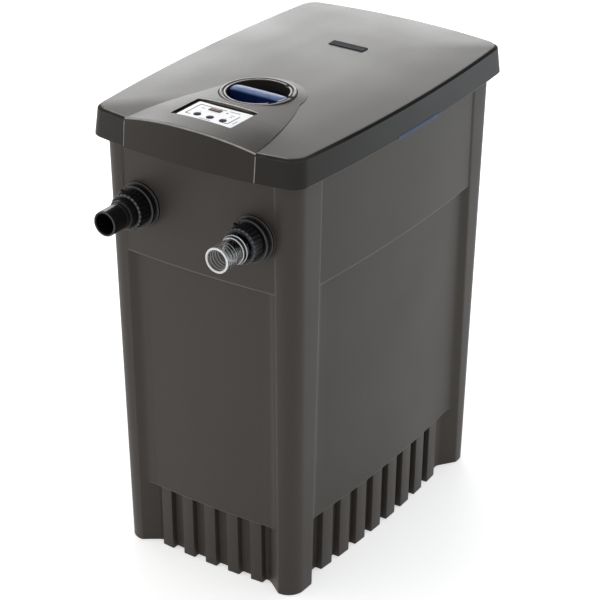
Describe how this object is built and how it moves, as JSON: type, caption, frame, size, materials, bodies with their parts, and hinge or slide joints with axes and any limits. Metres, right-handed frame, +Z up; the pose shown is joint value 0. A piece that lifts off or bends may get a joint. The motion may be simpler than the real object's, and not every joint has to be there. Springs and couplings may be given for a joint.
{
  "type": "pond filter",
  "caption": "Tall box filter for a garden pond, with lift-off lid, UV clarifier well, control panel, foams, sludge pump and two hose unions.",
  "frame": {"origin": "middle of the tank's underside, on the ground", "axes": "+Z up, -Y out of the front wall with the two hose unions, +X to the right seen from the front"},
  "size_m": [0.3792, 0.6636, 0.7228],
  "materials": {
    "tank_plastic": "fine moulded grain, dark taupe grey",
    "lid_plastic": "fine moulded grain, dark taupe grey",
    "black_plastic": "satin black",
    "blue_plastic": "semi-gloss navy blue",
    "button_blue": "soft dark navy",
    "white_panel": "printed plate, semi-gloss",
    "display": "dark red window, glossy",
    "nameplate": "blank satin badge",
    "clear_plastic": "clear moulded plastic",
    "quartz": "clear quartz",
    "lamp_glass": "lamp tube",
    "ceramic_white": "white ceramic",
    "rubber": "black rubber",
    "blue_foam": "coarse open-cell foam",
    "red_foam": "fine open-cell foam",
    "board": "green circuit board",
    "steel": "stainless"
  },
  "bodies": {
    "tank": {"tank_shell": "tank_plastic", "partition_wall": "tank_plastic", "rim_gasket": "rubber", "inlet_flat_seal": "rubber", "sludge_flat_seal": "rubber", "outlet_seal": "rubber", "inlet_bulkhead": "black_plastic", "sludge_bulkhead": "black_plastic", "inlet_lock_nut": "black_plastic", "sludge_lock_nut": "black_plastic", "inlet_elbow": "black_plastic", "uvc_housing": "black_plastic", "uvc_brackets": "black_plastic", "sludge_riser": "black_plastic", "pump_strainer": "black_plastic", "pump_volute": "black_plastic", "pump_motor": "black_plastic", "outlet_pipe": "black_plastic", "outlet_lock_nut": "black_plastic", "cable_gland": "black_plastic", "foam_grid": "black_plastic", "foam_retainer": "black_plastic", "foam_support_tubes": "black_plastic", "coarse_foams": "blue_foam", "fine_foams": "red_foam"},
    "impeller": {"pump_impeller": "black_plastic", "pump_shaft": "steel"},
    "lid": {"lid_shell": "lid_plastic", "console_cover": "lid_plastic", "well_ring": "lid_plastic", "control_housing": "black_plastic", "circuit_board": "board", "control_panel": "white_panel", "display_window": "display", "nameplate": "nameplate", "console_screws": "steel"},
    "latch_left": {"latch_left": "blue_plastic"},
    "latch_right": {"latch_right": "blue_plastic"},
    "button_left": {"button_left": "button_blue"},
    "button_middle": {"button_middle": "button_blue"},
    "button_right": {"button_right": "button_blue"},
    "uvc_unit": {"uvc_head": "black_plastic", "uvc_seal_ring": "rubber", "quartz_sleeve": "quartz", "uvc_lamp": "lamp_glass", "lamp_socket": "ceramic_white"},
    "uvc_grip": {"uvc_grip": "blue_plastic"},
    "inlet_tail": {"inlet_hose_tail": "black_plastic", "inlet_tail_seal": "rubber"},
    "sludge_tail": {"sludge_hose_tail": "clear_plastic", "sludge_tail_seal": "rubber"},
    "inlet_nut": {"inlet_union_nut": "black_plastic"},
    "sludge_nut": {"sludge_union_nut": "black_plastic"}
  },
  "joints": [
    {"name": "lid_lift", "type": "slide", "parent": "tank", "child": "lid", "axis": [0, 0, 1], "range_m": [0, 0.12]},
    {"name": "latch_left_pull", "type": "slide", "parent": "lid", "child": "latch_left", "axis": [-1, 0, 0], "range_m": [0, 0.003], "stiffness_N_per_m": 400},
    {"name": "latch_right_pull", "type": "slide", "parent": "lid", "child": "latch_right", "axis": [1, 0, 0], "range_m": [0, 0.003], "stiffness_N_per_m": 400},
    {"name": "button_left_press", "type": "slide", "parent": "lid", "child": "button_left", "axis": [0, 0, -1], "range_m": [0, 0.0008], "stiffness_N_per_m": 600},
    {"name": "button_middle_press", "type": "slide", "parent": "lid", "child": "button_middle", "axis": [0, 0, -1], "range_m": [0, 0.0008], "stiffness_N_per_m": 600},
    {"name": "button_right_press", "type": "slide", "parent": "lid", "child": "button_right", "axis": [0, 0, -1], "range_m": [0, 0.0008], "stiffness_N_per_m": 600},
    {"name": "uvc_lift", "type": "slide", "parent": "tank", "child": "uvc_unit", "axis": [0, 0, 1], "range_m": [0, 0.32]},
    {"name": "uvc_grip_turn", "type": "hinge", "parent": "uvc_unit", "child": "uvc_grip", "pos_m": [0, -0.117, 0.7], "axis": [0, 0, 1], "range_deg": [0, 40]},
    {"name": "impeller_spin", "type": "hinge", "parent": "tank", "child": "impeller", "pos_m": [0.097, -0.14, 0.05], "axis": [0, 0, 1], "continuous": true},
    {"name": "inlet_tail_slide", "type": "slide", "parent": "tank", "child": "inlet_tail", "axis": [0, -1, 0], "range_m": [0, 0.0141]},
    {"name": "inlet_nut_turn", "type": "hinge", "parent": "inlet_tail", "child": "inlet_nut", "pos_m": [-0.097, -0.295, 0.578], "axis": [0, -1, 0], "range_deg": [0, 1260]},
    {"name": "sludge_tail_slide", "type": "slide", "parent": "tank", "child": "sludge_tail", "axis": [0, -1, 0], "range_m": [0, 0.0141]},
    {"name": "sludge_nut_turn", "type": "hinge", "parent": "sludge_tail", "child": "sludge_nut", "pos_m": [0.097, -0.295, 0.578], "axis": [0, -1, 0], "range_deg": [0, 1260]}
  ],
  "couplings": [
    {"joint": "inlet_tail_slide", "follows": "inlet_nut_turn", "m_per_rad": 0.00063662},
    {"joint": "sludge_tail_slide", "follows": "sludge_nut_turn", "m_per_rad": 0.00063662}
  ]
}
